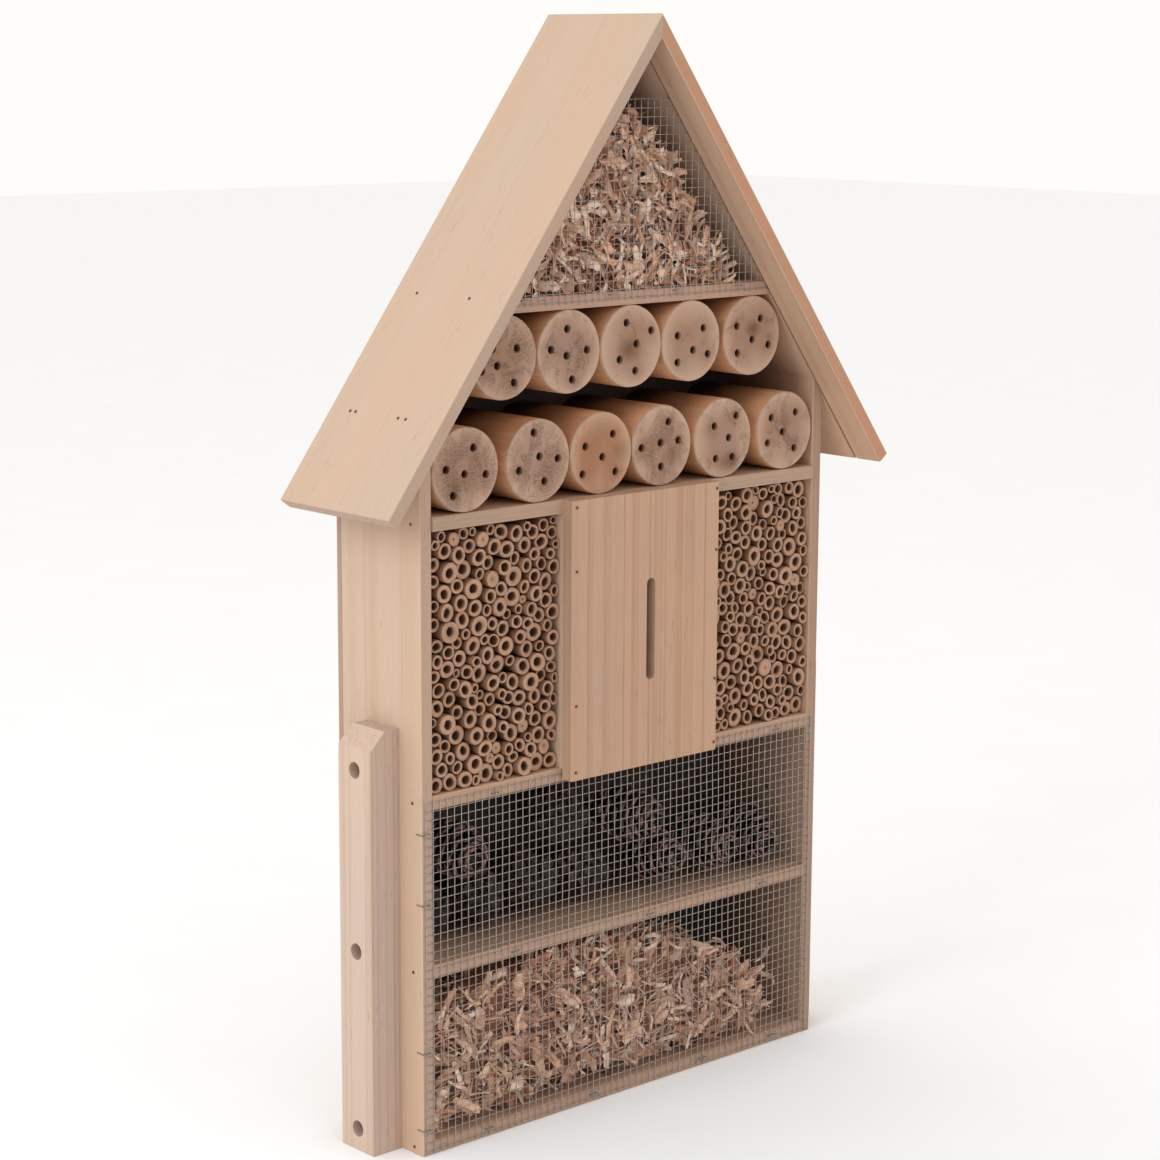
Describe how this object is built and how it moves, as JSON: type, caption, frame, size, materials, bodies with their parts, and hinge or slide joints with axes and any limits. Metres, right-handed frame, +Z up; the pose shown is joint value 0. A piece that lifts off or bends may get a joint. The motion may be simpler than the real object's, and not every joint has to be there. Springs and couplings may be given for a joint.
{
  "type": "insect hotel",
  "caption": "Tall narrow house-shaped insect hotel of softwood boards, with bays of drilled logs, reeds, pine cones and wood shavings behind wire mesh.",
  "frame": {"origin": "centre of the bounding box in plan, on the ground under the floor board", "axes": "+Z up, front with the mesh and the butterfly panel towards -Y, +X to the right as seen from the front"},
  "size_m": [0.496, 0.12, 0.8],
  "materials": {
    "case_wood": "planed untreated softwood, matt",
    "back_sheet": "sanded plywood, matt",
    "log_wood": "sawn end grain with fine saw marks, matt",
    "reed_stem": "dry cut reed, thick pale wall, satin outside",
    "pine_cone": "dry open cone scales, rough",
    "shavings": "thin curled softwood shavings, matt",
    "galvanised_wire": "galvanised welded wire, dull",
    "fixing_steel": "plain steel, slightly darkened"
  },
  "bodies": {
    "root": {"attic_mesh": "galvanised_wire", "attic_shavings": "shavings", "attic_shelf": "case_wood", "back_nails": "fixing_steel", "back_panel": "back_sheet", "batten_screws": "fixing_steel", "butterfly_panel": "case_wood", "cone_shelf": "case_wood", "floor_board": "case_wood", "left_batten": "case_wood", "left_divider": "case_wood", "left_reeds": "reed_stem", "left_roof_board": "case_wood", "left_side_panel": "case_wood", "log_screws": "fixing_steel", "log_shelf": "case_wood", "lower_log_1": "log_wood", "lower_log_2": "log_wood", "lower_log_3": "log_wood", "lower_log_4": "log_wood", "lower_log_5": "log_wood", "lower_log_6": "log_wood", "lower_mesh": "galvanised_wire", "lower_shavings": "shavings", "mesh_staples": "fixing_steel", "panel_nails": "fixing_steel", "pine_cone_1": "pine_cone", "pine_cone_10": "pine_cone", "pine_cone_2": "pine_cone", "pine_cone_3": "pine_cone", "pine_cone_4": "pine_cone", "pine_cone_5": "pine_cone", "pine_cone_6": "pine_cone", "pine_cone_7": "pine_cone", "pine_cone_8": "pine_cone", "pine_cone_9": "pine_cone", "reed_shelf": "case_wood", "right_batten": "case_wood", "right_divider": "case_wood", "right_reeds": "reed_stem", "right_roof_board": "case_wood", "right_side_panel": "case_wood", "roof_nails": "fixing_steel", "side_nails": "fixing_steel", "upper_log_1": "log_wood", "upper_log_2": "log_wood", "upper_log_3": "log_wood", "upper_log_4": "log_wood", "upper_log_5": "log_wood"}
  },
  "joints": []
}
